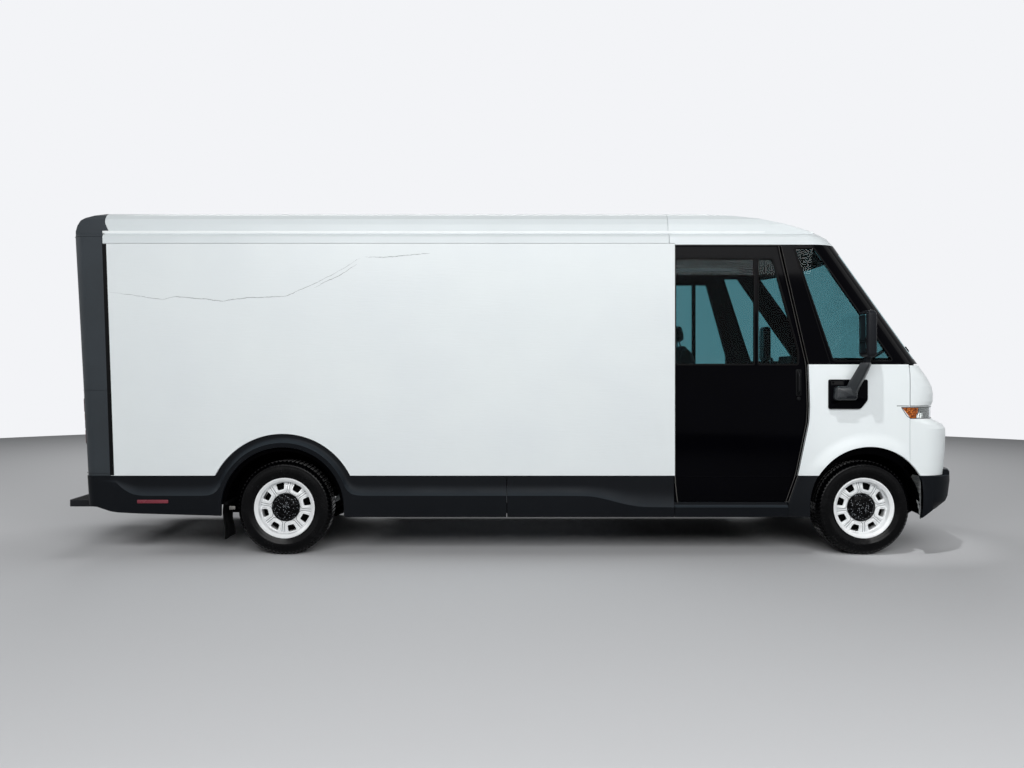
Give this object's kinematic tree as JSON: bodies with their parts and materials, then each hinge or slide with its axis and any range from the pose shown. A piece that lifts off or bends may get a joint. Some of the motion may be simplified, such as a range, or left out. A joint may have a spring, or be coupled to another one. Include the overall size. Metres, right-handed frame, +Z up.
{
  "type": "electric cargo van",
  "caption": "Walk-in electric delivery van with a long cargo box, sliding cab doors, swinging rear doors and steered front wheels.",
  "frame": {"origin": "on the ground below the middle of the van's bounding box", "axes": "+X forward, +Y to the driver's left, +Z up"},
  "size_m": [7.3596, 2.71, 2.79],
  "materials": {
    "axle_iron": "matt",
    "battery_case": "matt",
    "black_cladding": "satin",
    "dash_plastic": "matt",
    "flap_rubber": "matt",
    "floor_mat": "matt",
    "floor_panel": "satin",
    "frame_steel": "satin",
    "gloss_black": "gloss",
    "lamp_glass": "clear",
    "lamp_red": "gloss",
    "liner_plastic": "matt",
    "lining_panel": "matt",
    "mirror_glass": "polished",
    "mirror_housing": "satin",
    "rail_aluminium": "satin",
    "rim_white": "gloss",
    "screen_glass": "clear tinted",
    "seat_cloth": "woven",
    "step_black": "satin",
    "tail_black": "satin",
    "tyre": "matt",
    "white_paint": "gloss"
  },
  "bodies": {
    "van_body": {"cab_roof": "white_paint", "windscreen": "screen_glass", "headlights": "lamp_glass", "front_fascia": "white_paint", "front_bumper": "black_cladding", "fenders": "white_paint", "quarter_frames": "gloss_black", "quarter_windows": "screen_glass", "cab_frame": "frame_steel", "door_tracks": "rail_aluminium", "lining_posts": "frame_steel", "cross_members": "frame_steel", "side_panels": "white_paint", "side_linings": "lining_panel", "cargo_roof": "white_paint", "bulkhead": "lining_panel", "rear_portal": "tail_black", "tail_lights": "lamp_red", "cladding": "black_cladding", "rear_bumper": "black_cladding", "rear_step": "step_black", "mud_flaps": "flap_rubber", "chassis_frame": "frame_steel", "battery_pack": "battery_case", "cargo_floor": "floor_panel", "cab_floor": "floor_mat", "wheel_housings": "liner_plastic", "front_suspension": "frame_steel", "rear_axle": "axle_iron", "leaf_springs": "frame_steel", "dashboard": "dash_plastic", "steering_column": "dash_plastic", "seat_frame": "frame_steel", "seat_cushions": "seat_cloth", "side_mirrors": "mirror_housing", "mirror_glass": "mirror_glass"},
    "left_cab_door": {"left_cab_door": "gloss_black", "left_cab_door_window": "screen_glass"},
    "right_cab_door": {"right_cab_door": "gloss_black", "right_cab_door_window": "screen_glass"},
    "left_rear_door": {"left_rear_door": "tail_black", "left_rear_door_window": "screen_glass"},
    "right_rear_door": {"right_rear_door": "tail_black", "right_rear_door_window": "screen_glass"},
    "bonnet": {"hood": "white_paint"},
    "bulkhead_door": {"bulkhead_door": "lining_panel"},
    "steering_wheel": {"steering_wheel": "dash_plastic"},
    "left_knuckle": {"left_knuckle": "axle_iron"},
    "right_knuckle": {"right_knuckle": "axle_iron"},
    "front_left_wheel": {"front_left_rim": "rim_white", "front_left_tyre": "tyre"},
    "front_right_wheel": {"front_right_rim": "rim_white", "front_right_tyre": "tyre"},
    "rear_left_wheel": {"rear_left_rim": "rim_white", "rear_left_tyre": "tyre"},
    "rear_right_wheel": {"rear_right_rim": "rim_white", "rear_right_tyre": "tyre"}
  },
  "joints": [
    {"name": "left_cab_door_slide", "type": "slide", "parent": "van_body", "child": "left_cab_door", "axis": [-1, 0, 0], "range_m": [0, 0.96]},
    {"name": "right_cab_door_slide", "type": "slide", "parent": "van_body", "child": "right_cab_door", "axis": [-1, 0, 0], "range_m": [0, 0.96]},
    {"name": "left_rear_door_hinge", "type": "hinge", "parent": "van_body", "child": "left_rear_door", "pos_m": [-3.383, 0.856, 0.663], "axis": [0.0542, 0, -0.9985], "range_deg": [0, 120]},
    {"name": "right_rear_door_hinge", "type": "hinge", "parent": "van_body", "child": "right_rear_door", "pos_m": [-3.383, -0.856, 0.663], "axis": [-0.0542, 0, 0.9985], "range_deg": [0, 120]},
    {"name": "bonnet_hinge", "type": "hinge", "parent": "van_body", "child": "bonnet", "pos_m": [3.56, 0, 1.2035], "axis": [0, 1, 0], "range_deg": [0, 70]},
    {"name": "bulkhead_door_slide", "type": "slide", "parent": "van_body", "child": "bulkhead_door", "axis": [0, 1, 0], "range_m": [0, 0.62]},
    {"name": "left_steer", "type": "hinge", "parent": "van_body", "child": "left_knuckle", "pos_m": [2.865, 0.8795, 0.38], "axis": [0, 0, 1], "range_deg": [-35, 35]},
    {"name": "right_steer", "type": "hinge", "parent": "van_body", "child": "right_knuckle", "pos_m": [2.865, -0.8795, 0.38], "axis": [0, 0, 1], "range_deg": [-35, 35]},
    {"name": "steering_wheel_turn", "type": "hinge", "parent": "van_body", "child": "steering_wheel", "pos_m": [2.48, 0.47, 1.44], "axis": [-0.8192, 0, 0.5736], "range_deg": [-490, 490]},
    {"name": "front_left_wheel_spin", "type": "hinge", "parent": "left_knuckle", "child": "front_left_wheel", "pos_m": [2.865, 0.9175, 0.38], "axis": [0, 1, 0], "continuous": true},
    {"name": "front_right_wheel_spin", "type": "hinge", "parent": "right_knuckle", "child": "front_right_wheel", "pos_m": [2.865, -0.9175, 0.38], "axis": [0, 1, 0], "continuous": true},
    {"name": "rear_left_wheel_spin", "type": "hinge", "parent": "van_body", "child": "rear_left_wheel", "pos_m": [-1.796, 0.9175, 0.38], "axis": [0, 1, 0], "continuous": true},
    {"name": "rear_right_wheel_spin", "type": "hinge", "parent": "van_body", "child": "rear_right_wheel", "pos_m": [-1.796, -0.9175, 0.38], "axis": [0, 1, 0], "continuous": true}
  ],
  "couplings": [
    {"joint": "right_steer", "follows": "left_steer", "ratio": 1},
    {"joint": "steering_wheel_turn", "follows": "left_steer", "ratio": 14}
  ]
}
